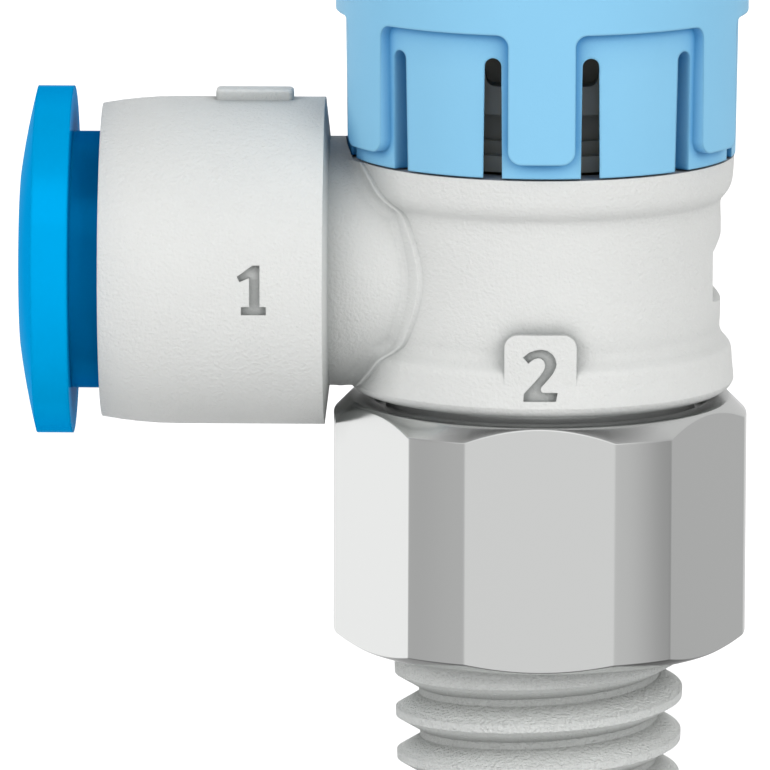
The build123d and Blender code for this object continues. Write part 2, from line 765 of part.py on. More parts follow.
# Bonnet: fixed dark neck whose collar the knob's beads snap under, with a pocket on each side
with BuildPart() as bonnet:
    with BuildSketch(Plane.XZ):
        make_face(outline(
            (insert_flange_radius + seal_gap, bonnet_foot),
            (bonnet_flange_radius, bonnet_foot),
            (bonnet_flange_radius, bonnet_flange_top),
            (bonnet_step_radius, bonnet_flange_top),
            (bonnet_step_radius, bonnet_step_top),
            (bonnet_neck_radius, bonnet_step_top),
            (bonnet_neck_radius, bonnet_collar_start),
            (bonnet_collar_radius, bonnet_collar_start),
            (bonnet_collar_radius, bonnet_top - bonnet_lead_in),
            (bonnet_collar_radius - bonnet_lead_in, bonnet_top),
            (socket_boss_radius + 2 * moulded, bonnet_top),
            (socket_boss_radius + 2 * moulded, insert_neck_top),
            (insert_neck_radius + seal_gap, insert_neck_top),
            (insert_neck_radius + seal_gap, insert_flange_top),
            (insert_flange_radius + seal_gap, insert_flange_top),
        ))
    revolve(axis=Axis.Z)
    pocket_rise = bonnet_top - bonnet_pocket_bottom + spare
    pocket_spread = bonnet_pocket_half_width + pocket_rise * tan(radians(bonnet_pocket_draft))
    for pocket in range(bonnet_pocket_count):
        angle = front + pocket * 360 / bonnet_pocket_count
        with BuildSketch(side_plane(angle, bonnet_pocket_floor)):
            make_face(outline(
                (-bonnet_pocket_half_width, bonnet_pocket_bottom, bonnet_pocket_corner),
                (bonnet_pocket_half_width, bonnet_pocket_bottom, bonnet_pocket_corner),
                (pocket_spread, bonnet_pocket_bottom + pocket_rise),
                (-pocket_spread, bonnet_pocket_bottom + pocket_rise),
            ))
        extrude(amount=bonnet_collar_radius, mode=Mode.SUBTRACT)
bonnet.part.label = "bonnet"
export_step(bonnet.part, "parts/bonnet.step")

# What is sunk into the knob's skirt: a ring, less the tongues that keep the full radius
with BuildPart() as skirt_recess:
    with BuildSketch(Plane.XZ):
        make_face(outline(
            (panel_floor_low_radius, knob_skirt_bottom),
            (knob_radius + spare, knob_skirt_bottom),
            (knob_radius + spare, panel_top),
            (panel_floor_high_radius, panel_top),
        ))
    revolve(axis=Axis.Z)
    for tongue in range(panel_count):
        angle = front + tongue * 360 / panel_count
        with BuildSketch(side_plane(angle, panel_floor_low_radius / 2)):
            make_face(outline(
                (-tongue_width / 2, tongue_bottom, tongue_corner_radius),
                (tongue_width / 2, tongue_bottom, tongue_corner_radius),
                (tongue_width / 2, panel_top, panel_corner_radius),
                (tongue_width, panel_top),
                (tongue_width, panel_top + tongue_width),
                (-tongue_width, panel_top + tongue_width),
                (-tongue_width, panel_top),
                (-tongue_width / 2, panel_top, panel_corner_radius),
            ))
        extrude(amount=knob_radius, mode=Mode.SUBTRACT)

# Knob: grip, castellated skirt of spring fingers, snap beads, socket for the screw's hexagon
bead_radius = bonnet_neck_radius + moulded
bead_top = bonnet_collar_start - moulded
bead_foot = bead_top - bead_height
slot_start = (bead_radius ** 2 - (slot_offset + slot_bottom_width) ** 2) ** 0.5
with BuildPart() as knob:
    with BuildSketch(Plane.XZ):
        make_face(outline(
            (knob_skirt_inner_radius, knob_skirt_bottom),
            (knob_radius, knob_skirt_bottom),
            (knob_radius, knob_top, knob_top_edge_radius),
            (0, knob_top),
            (0, screw_head_start),
            (socket_boss_radius, screw_head_start),
            (socket_boss_radius, knob_roof),
            (knob_skirt_inner_radius, knob_roof),
            (knob_skirt_inner_radius, bead_top),
            (bead_radius, bead_top),
            (bead_radius, bead_foot + bead_height / 2),
            (knob_skirt_inner_radius, bead_foot),
        ))
    revolve(axis=Axis.Z)
    add(skirt_recess.part, mode=Mode.SUBTRACT)
    for finger in range(panel_count):
        angle = front + finger * 360 / panel_count
        for side in (-slot_offset, slot_offset):
            with BuildSketch(side_plane(angle, slot_start)):
                make_face(outline(
                    (side - slot_bottom_width / 2, knob_skirt_bottom),
                    (side + slot_bottom_width / 2, knob_skirt_bottom),
                    (side + slot_top_width / 2, slot_top - slot_top_width / 2),
                    (side - slot_top_width / 2, slot_top - slot_top_width / 2),
                ))
                with Locations((side, slot_top - slot_top_width / 2)):
                    Circle(slot_top_width / 2)
            extrude(amount=knob_radius, mode=Mode.SUBTRACT)
    with BuildSketch(Plane.XY.offset(screw_head_start)):
        RegularPolygon(socket_flats / 2, 6, major_radius=False)
    extrude(amount=socket_ceiling - screw_head_start, mode=Mode.SUBTRACT)
knob.part.label = "knob"
export_step(knob.part, "parts/knob.step")
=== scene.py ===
from math import atan2, cos, degrees, pi, radians, sin

import bpy
from mathutils import Matrix, Vector
from mathutils.bvhtree import BVHTree
from mathutils.geometry import barycentric_transform


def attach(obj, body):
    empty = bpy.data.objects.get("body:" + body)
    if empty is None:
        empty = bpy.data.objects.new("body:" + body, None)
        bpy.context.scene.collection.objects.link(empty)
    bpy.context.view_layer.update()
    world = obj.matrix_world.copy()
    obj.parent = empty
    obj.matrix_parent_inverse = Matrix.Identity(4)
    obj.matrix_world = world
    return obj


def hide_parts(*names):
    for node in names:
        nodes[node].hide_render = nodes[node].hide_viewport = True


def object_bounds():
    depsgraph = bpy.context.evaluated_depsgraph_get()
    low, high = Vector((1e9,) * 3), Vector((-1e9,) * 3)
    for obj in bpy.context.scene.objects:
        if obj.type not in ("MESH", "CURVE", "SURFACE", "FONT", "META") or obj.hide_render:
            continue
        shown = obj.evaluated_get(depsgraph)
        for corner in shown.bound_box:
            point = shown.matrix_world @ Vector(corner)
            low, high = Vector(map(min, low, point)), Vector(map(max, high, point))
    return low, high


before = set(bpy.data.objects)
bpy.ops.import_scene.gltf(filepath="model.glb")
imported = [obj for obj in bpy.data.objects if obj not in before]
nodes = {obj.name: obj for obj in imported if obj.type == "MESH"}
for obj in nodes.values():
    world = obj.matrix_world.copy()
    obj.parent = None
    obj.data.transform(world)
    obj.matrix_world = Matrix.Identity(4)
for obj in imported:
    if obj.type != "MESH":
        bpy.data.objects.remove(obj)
cad_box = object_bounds()

# Sizes are given in millimetres and turned into metres where they are used
MM = 0.001
PORT_HEIGHT = 12.92
STUD_BORE = 2.3

# Turns, in radians
HALF_SIDE = radians(180 / 6)
QUARTER_TURN = radians(90)

# Hexagon, with its foot at height zero and a shallow cup in its top round the spigot
ACROSS_FLATS = 13.0
HEXAGON_TOP = 8.38
FOOT_RADIUS = 6.35
FOOT_CHAMFER = 0.3545
CORNER_RADIUS = 6.964
TOP_RADIUS = 6.42
TOP_CHAMFER = 0.544
CUP_RADIUS = 5.69
CUP_FLOOR = 7.98
HEXAGON_EDGE = 0.045

# Spigot inside the housing, with the low and high side of each groove
SPIGOT_RADIUS = 4.72
SPIGOT_BORE = 3.2
SPIGOT_TOP = 16.5
SHOULDER_RADIUS = 5.2
SHOULDER_FOOT = 7.5
SHOULDER_TOP = 9.2
BORE_STEP = 8.0
SEAL_GROOVE_RADIUS = 3.87
LOWER_SEAL_GROOVE = (10.025, 11.075)
UPPER_SEAL_GROOVE = (14.525, 15.575)
SPRING_GROOVE_RADIUS = 4.32
SPRING_GROOVE = (15.98, 16.38)
WINDOW_RADIUS = 1.15
WINDOW_REACH = 12
SPIGOT_EDGE = 0.03

# Thread. One crest's height is given at +X, and the sweep starts whole turns below it. The last groove runs
# out over an angle in degrees, counted from +X
THREAD_PITCH = 1.477
THREAD_DEPTH = 0.8
CREST_FLAT = 0.275
ROOT_FLAT = 0.24
FLANK = (THREAD_PITCH - CREST_FLAT - ROOT_FLAT) / 2
THREAD_RADIUS = 4.92
THREAD_TAPER = 1 / 32
THREAD_TOP = 0.1
THREAD_END = -7.864
SIDE_CREST = -1.77
TURNS_BELOW = 5
CREST_HEIGHT = SIDE_CREST - TURNS_BELOW * THREAD_PITCH
SWEPT_TURNS = 7
STEPS_A_TURN = 192
FLANK_CUTS = 2
RUN_OUT_FROM = 50
RUN_OUT_OVER = 100
CHAMFER_INNER = 4.0
CHAMFER_OUTER = 6.0
CUTTER_OVERLAP = 0.2
CUTTER_LENGTH = 30

# Port numbers on the housing, as outlines in (across, up) on its front, sunk into barrel and pad
BARREL_RADIUS = 5.515
BARREL_MIDDLE = -10
BARREL_REACH = 12
PAD_RADIUS = 6.45
DIGIT_DEPTH = 0.2
DIGIT_CUT_FROM = -8.0
DIGIT_CUT_LENGTH = 5.0
DIGIT_ONE = [
    (-9.563, 13.626), (-9.334, 13.627), (-9.333, 12.232), (-9.124, 12.233), (-9.125, 11.953),
    (-9.949, 11.949), (-9.947, 12.228), (-9.675, 12.23), (-9.675, 13.168), (-9.688, 13.211),
    (-9.999, 13.076), (-10.083, 13.252),
]
DIGIT_TWO = [
    (-0.582, 10.746), (-0.374, 10.911), (-0.173, 10.984), (0.029, 11.013), (0.228, 10.976),
    (0.391, 10.855), (0.491, 10.713), (0.531, 10.528), (0.502, 10.387), (0.414, 10.203),
    (0.273, 10.022), (0.134, 9.867), (0.036, 9.756), (0.009, 9.695), (0.026, 9.621),
    (0.076, 9.571), (0.576, 9.559), (0.518, 9.274), (-0.555, 9.267), (-0.546, 9.523),
    (-0.368, 9.721), (-0.207, 9.895), (-0.049, 10.081), (0.073, 10.243), (0.142, 10.388),
    (0.154, 10.509), (0.12, 10.63), (0.031, 10.714), (-0.082, 10.733), (-0.211, 10.692),
    (-0.31, 10.627), (-0.402, 10.545),
]

# How the meshes are joined, cut and smoothed. Angles are in degrees
JOIN_WITHIN = 0.0005
ON_PLANE_WITHIN = 0.00001
SHARP_ANGLE = 14
EDGE_SEGMENTS = 2
FACE_WEIGHT = 100
METAL_SMOOTH_ANGLE = 32
THREAD_SMOOTH_ANGLE = 50
ROUND_STEPS = 180
ROD_CORNERS = 96
WINDOW_CORNERS = 48
FACE_INSET = 0.02
SAME_SURFACE_WITHIN = 0.01
SAME_DIRECTION = 0.9

# Materials: what moulded and turned pieces have in common. Openness is how much of the sky a place sees, and
# where it is low a darker colour is painted in as shade
PAINTED_SHADE_SAMPLES = 5
CORNER_SHADE_SAMPLES = 4
GAP_SHADE_SAMPLES = 6
EDGE_SAMPLES = 6
CLOUD_SIZE = 2.5
CLOUD_DETAIL = 3.0
GRAIN_DETAIL = 2.0
ROUND_TOOL_MARKS = (0.15, 0.15, 1.0)
GAP_OPENNESS = 0.15
CLEAR_OPENNESS = 0.5
GAP_METALLIC = 0.15
GAP_ROUGHNESS = 0.6

# Studio light, at a level at which a colour renders about as it is written
TENT_LIGHT = 0.42
FRONT_LIGHT = 0.12
SOFTBOX_SIZE = 260
LEFT_PLACE = (-290, -290, 160)
LEFT_WATTS = 0.6
RIGHT_PLACE = (290, -290, 160)
RIGHT_WATTS = 0.7
BACK_PLACE = (0, 400, 120)
BACK_WATTS = 0.5

# Floor. Near the stud's axis a painted shadow darkens its reflection, where the valve shades it
FLOOR_SIZE = 6000
FLOOR_GAP = 0.2
FLOOR_LIFT = 0.62
SHADOW_PAINT_START = 10
SHADOW_PAINT_END = 20
PAINTED_SHADOW_TONE = 0.3

# Painted front panel and ceiling that only reflections see: a painted highlight and a darker painted
# reflection overhead. Heights are the sine of the angle above level
PAINTED_PANEL_HIGHLIGHT = 0.45
PANEL_MIDDLE = 0.715
PANEL_HALF = 0.185
PANEL_EDGE = -0.3
CEILING_START = 0.78
CEILING_END = 0.97
PAINTED_CEILING_TONE = 0.25

# What polished metal sees round the valve, as (share of a full turn, brightness), from -X through -Y, +X
# and +Y back to -X. It is a painted reflection of a white sweep with a grey card on the left and another on
# the right, which only reflections see. The first ring is the floor, the second is the tent above level
BELOW_LEVEL = [
    (0.0, 0.68), (0.05, 0.5), (0.13, 0.55), (0.25, 0.83), (0.37, 0.64), (0.467, 0.37), (0.583, 0.54),
    (0.75, 0.8), (0.88, 1.1), (0.96, 1.1),
]
ABOVE_LEVEL = [
    (0.0, 0.58), (0.05, 0.45), (0.13, 0.55), (0.25, 0.83), (0.37, 0.64), (0.467, 0.54), (0.583, 0.67),
    (0.75, 0.67), (0.88, 0.82), (0.96, 0.68),
]

# Camera with a long lens. Angles are in degrees, the picture's own measures in its pixels
FOCAL_PIXELS = 10500.0
PICTURE_PIXELS = 770
AXIS_PIXEL = 155.3
DISTANCE = 354.25
AIM_HEIGHT = 8.69
TILT = 10.05
TURN = 0.85
ROLL = 0.15
SENSOR = 36.0
NEAREST = 10
FARTHEST = 20000


def linear(colour):
    """An sRGB hex colour as linear red, green, blue and alpha."""
    channels = [int(colour[place:place + 2], 16) / 255 for place in (1, 3, 5)]
    return [c / 12.92 if c <= 0.04045 else ((c + 0.055) / 1.055) ** 2.4 for c in channels] + [1.0]


def put(tree, kind, inputs=None, **settings):
    """Adds one node. Settings go to the node, inputs to its sockets as a value or another node's output."""
    node = tree.nodes.new(kind)
    for name, value in settings.items():
        setattr(node, name, value)
    for name, value in (inputs or {}).items():
        if isinstance(value, bpy.types.NodeSocket):
            tree.links.new(value, node.inputs[name])
        else:
            node.inputs[name].default_value = value
    return node


def new_material(name):
    """An empty material, its node tree and its output node."""
    material = bpy.data.materials.new(name)
    material.use_nodes = True
    material.node_tree.nodes.clear()
    return material, material.node_tree, material.node_tree.nodes.new("ShaderNodeOutputMaterial")


def moulded_plastic(name, base, shade, painted_shade, shade_reach_mm, gloss, roughness, grain_mm, grain_depth_mm, edge_mm,
                    painted_shade_power=1.5, tinted_shine=0.0, corner_shade_mm=0.0):
    """Moulded plastic: cloudy colour, painted shade that deepens it in creases, spark-eroded grain and
    rounded edges.

    The painted shade comes in where a place is shut in within its reach, and once more over a narrower
    corner reach where one is given.
    """
    material, tree, out = new_material(name)
    place = put(tree, "ShaderNodeTexCoord").outputs["Object"]
    clouds = put(tree, "ShaderNodeTexNoise", {"Vector": place, "Scale": 1 / (CLOUD_SIZE * MM),
                                              "Detail": CLOUD_DETAIL})
    open_tone = put(tree, "ShaderNodeMix", {"Factor": clouds.outputs["Fac"], "A": linear(base),
                                            "B": linear(shade)}, data_type="RGBA")
    # Painted shade: where a place sees little sky, its colour is mixed towards a darker painted shade colour
    open_to_light = put(tree, "ShaderNodeAmbientOcclusion", {"Distance": shade_reach_mm * MM},
                        samples=PAINTED_SHADE_SAMPLES)
    openness = put(tree, "ShaderNodeMath", {0: open_to_light.outputs["AO"], 1: painted_shade_power},
                   operation="POWER")
    if corner_shade_mm:
        corner = put(tree, "ShaderNodeAmbientOcclusion", {"Distance": corner_shade_mm * MM},
                     samples=CORNER_SHADE_SAMPLES)
        openness = put(tree, "ShaderNodeMath", {0: openness.outputs["Value"], 1: corner.outputs["AO"]},
                       operation="MULTIPLY")
    tone_with_painted_shade = put(tree, "ShaderNodeMix", {"Factor": openness.outputs["Value"], "A": linear(painted_shade),
                                       "B": open_tone.outputs["Result"]}, data_type="RGBA")
    grain = put(tree, "ShaderNodeTexNoise", {"Vector": place, "Scale": 1 / (grain_mm * MM),
                                             "Detail": GRAIN_DETAIL})
    rounded = put(tree, "ShaderNodeBevel", {"Radius": edge_mm * MM}, samples=EDGE_SAMPLES)
    bump = put(tree, "ShaderNodeBump", {"Height": grain.outputs["Fac"], "Distance": grain_depth_mm * MM,
                                        "Normal": rounded.outputs["Normal"]})
    shader = put(tree, "ShaderNodeBsdfPrincipled", {
        "Base Color": tone_with_painted_shade.outputs["Result"], "Roughness": roughness, "Specular IOR Level": gloss,
        "Metallic": tinted_shine, "Specular Tint": linear(base), "Normal": bump.outputs["Normal"],
    })
    tree.links.new(shader.outputs["BSDF"], out.inputs["Surface"])
    return material


def turned_metal(name, base, painted_shade, shade_reach_mm, roughness, streak_mm, streak_depth_mm, edge_mm):
    """Turned metal: tool marks round the stud's axis and broken edges, duller, less mirrored and painted
    darker as shade in gaps.
    """
    material, tree, out = new_material(name)
    place = put(tree, "ShaderNodeTexCoord").outputs["Object"]
    # Painted shade: where a place sees little sky, its colour darkens towards a painted shade colour and the
    # metal turns duller
    open_to_light = put(tree, "ShaderNodeAmbientOcclusion", {"Distance": shade_reach_mm * MM},
                        samples=GAP_SHADE_SAMPLES)
    tone_with_painted_shade = put(tree, "ShaderNodeMix", {"Factor": open_to_light.outputs["AO"], "A": linear(painted_shade),
                                       "B": linear(base)}, data_type="RGBA")
    squeezed = put(tree, "ShaderNodeMapping", {"Vector": place, "Scale": ROUND_TOOL_MARKS})
    marks = put(tree, "ShaderNodeTexNoise", {"Vector": squeezed.outputs["Vector"],
                                             "Scale": 1 / (streak_mm * MM), "Detail": GRAIN_DETAIL})
    rounded = put(tree, "ShaderNodeBevel", {"Radius": edge_mm * MM}, samples=EDGE_SAMPLES)
    bump = put(tree, "ShaderNodeBump", {"Height": marks.outputs["Fac"], "Distance": streak_depth_mm * MM,
                                        "Normal": rounded.outputs["Normal"]})
    bright = put(tree, "ShaderNodeMapRange", {
        "Value": open_to_light.outputs["AO"], "From Min": GAP_OPENNESS, "From Max": CLEAR_OPENNESS,
        "To Min": GAP_METALLIC, "To Max": 1.0,
    })
    dull = put(tree, "ShaderNodeMapRange", {
        "Value": open_to_light.outputs["AO"], "From Min": GAP_OPENNESS, "From Max": CLEAR_OPENNESS,
        "To Min": GAP_ROUGHNESS, "To Max": roughness,
    })
    shader = put(tree, "ShaderNodeBsdfPrincipled", {
        "Base Color": tone_with_painted_shade.outputs["Result"], "Metallic": bright.outputs["Result"],
        "Roughness": dull.outputs["Result"], "Normal": bump.outputs["Normal"],
    })
    tree.links.new(shader.outputs["BSDF"], out.inputs["Surface"])
    return material


# Light grey PBT from a spark-eroded mould: matt and nearly white, with soft grey painted shade in its
# creases. Its grain is about 0.04 mm, too fine to show, and is drawn at 0.11
housing_pbt = moulded_plastic(
    "moulded_light_grey_pbt", base="#edeeec", shade="#e7e8e6", painted_shade="#a2a5a4", shade_reach_mm=2.6, gloss=0.4,
    roughness=0.5, grain_mm=0.11, grain_depth_mm=0.042, edge_mm=0.05, painted_shade_power=1.4, corner_shade_mm=0.5)
# Pale blue PBT from a smoother mould: satin, with a stronger blue painted as shade where panels and slots
# shade themselves
knob_pbt = moulded_plastic(
    "moulded_pale_blue_pbt", base="#96d5f8", shade="#91d1f5", painted_shade="#1f80c0", shade_reach_mm=1.3, gloss=0.3,
    roughness=0.45, grain_mm=0.09, grain_depth_mm=0.003, edge_mm=0.12, painted_shade_power=1.3, corner_shade_mm=0.3)
# Bright blue acetal from a polished mould: slippery and glossy, so its blue shine runs round dome and
# sleeve, with a deeper blue painted as shade in its creases
ring_acetal = moulded_plastic(
    "moulded_bright_blue_acetal", base="#00b0f4", shade="#00abf0", painted_shade="#0076b4", shade_reach_mm=2.5, gloss=0.0,
    roughness=0.15, grain_mm=0.09, grain_depth_mm=0.001, edge_mm=0.15, tinted_shine=0.15)
# Warm grey PBT for the cap inside the knob: plain and matt, with a little painted shade in its creases. It
# looks dark because little light gets in there
bonnet_pbt = moulded_plastic(
    "moulded_warm_grey_pbt", base="#b9b5a6", shade="#b5b1a2", painted_shade="#aaa798", shade_reach_mm=1.0, gloss=0.4,
    roughness=0.5, grain_mm=0.09, grain_depth_mm=0.002, edge_mm=0.05)
# Natural acetal, turned from rod: milky white and a little greasy to look at, with painted shade in its
# creases
natural_acetal = moulded_plastic(
    "turned_natural_acetal", base="#dcd8cc", shade="#d6d2c6", painted_shade="#8f8c84", shade_reach_mm=1.0, gloss=0.5,
    roughness=0.4, grain_mm=0.09, grain_depth_mm=0.001, edge_mm=0.03)
# Black nylon, moulded: dark with a soft sheen, and painted shade in its creases
black_nylon = moulded_plastic(
    "moulded_black_nylon", base="#2a2a2b", shade="#262627", painted_shade="#161617", shade_reach_mm=1.0, gloss=0.5,
    roughness=0.45, grain_mm=0.09, grain_depth_mm=0.002, edge_mm=0.03)
# Nitrile rubber with assembly grease: black, with a wet edge of light and painted shade in its creases
nitrile_rubber = moulded_plastic(
    "greased_nitrile_rubber", base="#1b1b1b", shade="#171717", painted_shade="#0c0c0c", shade_reach_mm=1.0, gloss=0.5,
    roughness=0.3, grain_mm=0.12, grain_depth_mm=0.002, edge_mm=0.02)
# Thread sealant, brushed on and baked: chalky grey, dry and rough like fine sand, with painted shade
# darkening the thread's root. The grit is about 0.05 mm and is drawn at 0.11, so that it shows
sealant = moulded_plastic(
    "baked_thread_sealant", base="#eaecea", shade="#e0e2e0", painted_shade="#949694", shade_reach_mm=0.8, gloss=0.3,
    roughness=0.8, grain_mm=0.11, grain_depth_mm=0.13, edge_mm=0.05, painted_shade_power=1.4, corner_shade_mm=0.3)
# Bright nickel on turned brass: a pale, slightly blurred mirror, so each flat takes one tone of the painted
# surroundings, and gaps take painted shade
nickel_plate = turned_metal(
    "nickel_plated_brass", base="#dfe0df", painted_shade="#c8cac9", shade_reach_mm=1.0, roughness=0.18, streak_mm=0.08,
    streak_depth_mm=0.0008, edge_mm=0.02)
# Free-cutting brass as it leaves the lathe: yellow, with fine rings from the tool and painted shade in gaps
bare_brass = turned_metal(
    "turned_brass", base="#c8a25a", painted_shade="#7a6334", shade_reach_mm=1.0, roughness=0.28, streak_mm=0.08,
    streak_depth_mm=0.0008, edge_mm=0.03)
# Stainless spring steel, stamped and tumbled: neutral grey and evenly bright, with painted shade in gaps
spring_steel = turned_metal(
    "stamped_stainless_steel", base="#b9babb", painted_shade="#6c6d6e", shade_reach_mm=1.0, roughness=0.25,
    streak_mm=0.06, streak_depth_mm=0.0006, edge_mm=0.02)

finishes = {
    "hex_stud": nickel_plate, "lower_swivel_seal": nitrile_rubber, "upper_swivel_seal": nitrile_rubber,
    "thrust_washer": natural_acetal, "retaining_ring": spring_steel, "housing": housing_pbt,
    "tube_seal": nitrile_rubber, "support_ring": black_nylon, "grip_ring": spring_steel,
    "retaining_sleeve": bare_brass, "release_ring": ring_acetal, "throttle_insert": bare_brass,
    "insert_seal": nitrile_rubber, "check_seal": nitrile_rubber, "throttle_screw": bare_brass,
    "screw_seal": nitrile_rubber, "bonnet": bonnet_pbt, "knob": knob_pbt,
}


def finish_in(piece, material):
    """Gives a piece one material in place of what it has."""
    piece.data.materials.clear()
    piece.data.materials.append(material)


for node_name, finish in finishes.items():
    finish_in(nodes[node_name], finish)


def point(across, along, up):
    """A place given in millimetres, in metres."""
    return (across * MM, along * MM, up * MM)


def alone(piece):
    """Selects one piece and makes it the active one."""
    bpy.ops.object.select_all(action="DESELECT")
    piece.hide_set(False)
    piece.select_set(True)
    bpy.context.view_layer.objects.active = piece


def drawn(name, places):
    """A line drawn vertex by vertex through places in millimetres. It stays open, in edit mode."""
    bpy.ops.object.select_all(action="DESELECT")
    bpy.ops.mesh.primitive_plane_add(size=MM)
    piece = bpy.context.object
    piece.name = piece.data.name = name
    bpy.ops.object.mode_set(mode="EDIT")
    bpy.ops.mesh.merge(type="CENTER")
    bpy.ops.transform.translate(value=point(*places[0]))
    for last, following in zip(places, places[1:]):
        step = Vector(point(*following)) - Vector(point(*last))
        bpy.ops.mesh.extrude_region_move(TRANSFORM_OT_translate={"value": step})
    bpy.ops.mesh.select_all(action="SELECT")
    return piece


def clean_mesh():
    """Starts in edit mode, joins doubled points, turns all faces outwards and goes back to object mode."""
    bpy.ops.mesh.select_all(action="SELECT")
    bpy.ops.mesh.remove_doubles(threshold=JOIN_WITHIN * MM)
    bpy.ops.mesh.normals_make_consistent(inside=False)
    bpy.ops.object.mode_set(mode="OBJECT")


def turned(name, section, steps=ROUND_STEPS):
    """A turned ring from its closed section, given as (radius, height) corners."""
    piece = drawn(name, [(radius, 0, height) for radius, height in section + section[:1]])
    bpy.ops.mesh.spin(steps=steps, angle=2 * pi, center=(0, 0, 0), axis=(0, 0, 1))
    clean_mesh()
    return piece


def cut(piece, cutter, operation="DIFFERENCE"):
    """Cuts one piece with another, which is then thrown away."""
    alone(piece)
    tool = piece.modifiers.new("cut", "BOOLEAN")
    tool.operation = operation
    tool.solver = "EXACT"
    tool.object = cutter
    bpy.ops.object.modifier_apply(modifier="cut")
    bpy.data.objects.remove(cutter, do_unlink=True)


def rod(radius, depth, place, turn=(0, 0, 0), corners=ROD_CORNERS):
    """A plain cutter: a straight rod in millimetres."""
    bpy.ops.object.select_all(action="DESELECT")
    bpy.ops.mesh.primitive_cylinder_add(vertices=corners, radius=radius * MM, depth=depth * MM,
                                        location=point(*place), rotation=turn)
    bpy.ops.object.transform_apply(location=True, rotation=True, scale=True)
    return bpy.context.object


def break_edges(piece, width):
    """Rounds the sharp edges, and then shades flats evenly and smooths what is left."""
    alone(piece)
    edges = piece.modifiers.new("broken edges", "BEVEL")
    edges.width = width * MM
    edges.segments = EDGE_SEGMENTS
    edges.limit_method = "ANGLE"
    edges.angle_limit = radians(SHARP_ANGLE)
    edges.use_clamp_overlap = False
    bpy.ops.object.modifier_apply(modifier="broken edges")
    bpy.ops.object.shade_smooth_by_angle(angle=radians(METAL_SMOOTH_ANGLE))
    even = piece.modifiers.new("even shading", "WEIGHTED_NORMAL")
    even.weight = FACE_WEIGHT
    even.keep_sharp = True
    bpy.ops.object.modifier_apply(modifier="even shading")


def smooth_as(piece, original):
    """Shades a cut piece as the uncut one, and leaves the walls of the cut itself flat."""
    source = original.data
    source.calc_loop_triangles()
    corners = [tuple(triangle.vertices) for triangle in source.loop_triangles]
    surface = BVHTree.FromPolygons([vertex.co for vertex in source.vertices], corners)
    directions = []
    for face in piece.data.polygons:
        for corner in face.loop_indices:
            place = piece.data.vertices[piece.data.loops[corner].vertex_index].co
            inner = place + (face.center - place) * FACE_INSET
            _, _, index, away = surface.find_nearest(inner)
            triangle = source.loop_triangles[index]
            if away < SAME_SURFACE_WITHIN * MM and triangle.normal.dot(face.normal) > SAME_DIRECTION:
                a, b, c = (source.vertices[vertex].co for vertex in triangle.vertices)
                x, y, z = (source.corner_normals[loop].vector for loop in triangle.loops)
                tip = barycentric_transform(place, a, b, c, a + x * MM, b + y * MM, c + z * MM)
                directions.append(tip - place)
            else:
                directions.append(face.normal * MM)
    piece.data.normals_split_custom_set([tuple(direction.normalized()) for direction in directions])


# Hexagon: turned blank, flats milled off it, edges broken by tumbling before plating
hexagon = turned("hexagon", [
    (STUD_BORE, 0), (FOOT_RADIUS, 0), (CORNER_RADIUS, FOOT_CHAMFER),
    (CORNER_RADIUS, HEXAGON_TOP - TOP_CHAMFER), (TOP_RADIUS, HEXAGON_TOP),
    (CUP_RADIUS, HEXAGON_TOP), (CUP_RADIUS, CUP_FLOOR), (STUD_BORE, CUP_FLOOR),
])
six_flats = rod(ACROSS_FLATS / 2 / cos(HALF_SIDE), CUTTER_LENGTH, (0, 0, 0), (0, 0, HALF_SIDE), corners=6)
cut(hexagon, six_flats, "INTERSECT")
break_edges(hexagon, HEXAGON_EDGE)


def groove(radius, sides):
    """The section of one groove in the spigot, between its low and its high side."""
    low, high = sides
    return [(SPIGOT_RADIUS, low), (radius, low), (radius, high), (SPIGOT_RADIUS, high)]


# Spigot that the housing turns on, with grooves for two seals and the spring ring, and four air windows
spigot = turned("spigot", [
    (SPIGOT_BORE, BORE_STEP), (STUD_BORE, BORE_STEP), (STUD_BORE, SHOULDER_FOOT),
    (SHOULDER_RADIUS, SHOULDER_FOOT), (SHOULDER_RADIUS, SHOULDER_TOP), (SPIGOT_RADIUS, SHOULDER_TOP),
    *groove(SEAL_GROOVE_RADIUS, LOWER_SEAL_GROOVE),
    *groove(SEAL_GROOVE_RADIUS, UPPER_SEAL_GROOVE),
    *groove(SPRING_GROOVE_RADIUS, SPRING_GROOVE),
    (SPIGOT_RADIUS, SPIGOT_TOP), (SPIGOT_BORE, SPIGOT_TOP),
])
for lying in ((0, QUARTER_TURN, 0), (QUARTER_TURN, 0, 0)):
    cut(spigot, rod(WINDOW_RADIUS, WINDOW_REACH, (0, 0, PORT_HEIGHT), lying, corners=WINDOW_CORNERS))
break_edges(spigot, SPIGOT_EDGE)
alone(hexagon)
spigot.select_set(True)
bpy.ops.object.join()
finish_in(hexagon, nickel_plate)
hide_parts("hex_stud")
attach(hexagon, "stud")

# Thread: one turn's section, from crest to crest, swept round and up
thread = drawn("sealed_thread", [
    (THREAD_RADIUS, 0, CREST_HEIGHT - CREST_FLAT / 2),
    (THREAD_RADIUS, 0, CREST_HEIGHT + CREST_FLAT / 2),
    (THREAD_RADIUS - THREAD_DEPTH, 0, CREST_HEIGHT + CREST_FLAT / 2 + FLANK),
    (THREAD_RADIUS - THREAD_DEPTH, 0, CREST_HEIGHT + CREST_FLAT / 2 + FLANK + ROOT_FLAT),
    (THREAD_RADIUS, 0, CREST_HEIGHT - CREST_FLAT / 2 + THREAD_PITCH),
])
bpy.ops.mesh.subdivide(number_cuts=FLANK_CUTS)
bpy.ops.object.mode_set(mode="OBJECT")
sweep = thread.modifiers.new("sweep", "SCREW")
sweep.axis = "Z"
sweep.angle = 2 * pi
sweep.screw_offset = THREAD_PITCH * MM
sweep.iterations = SWEPT_TURNS
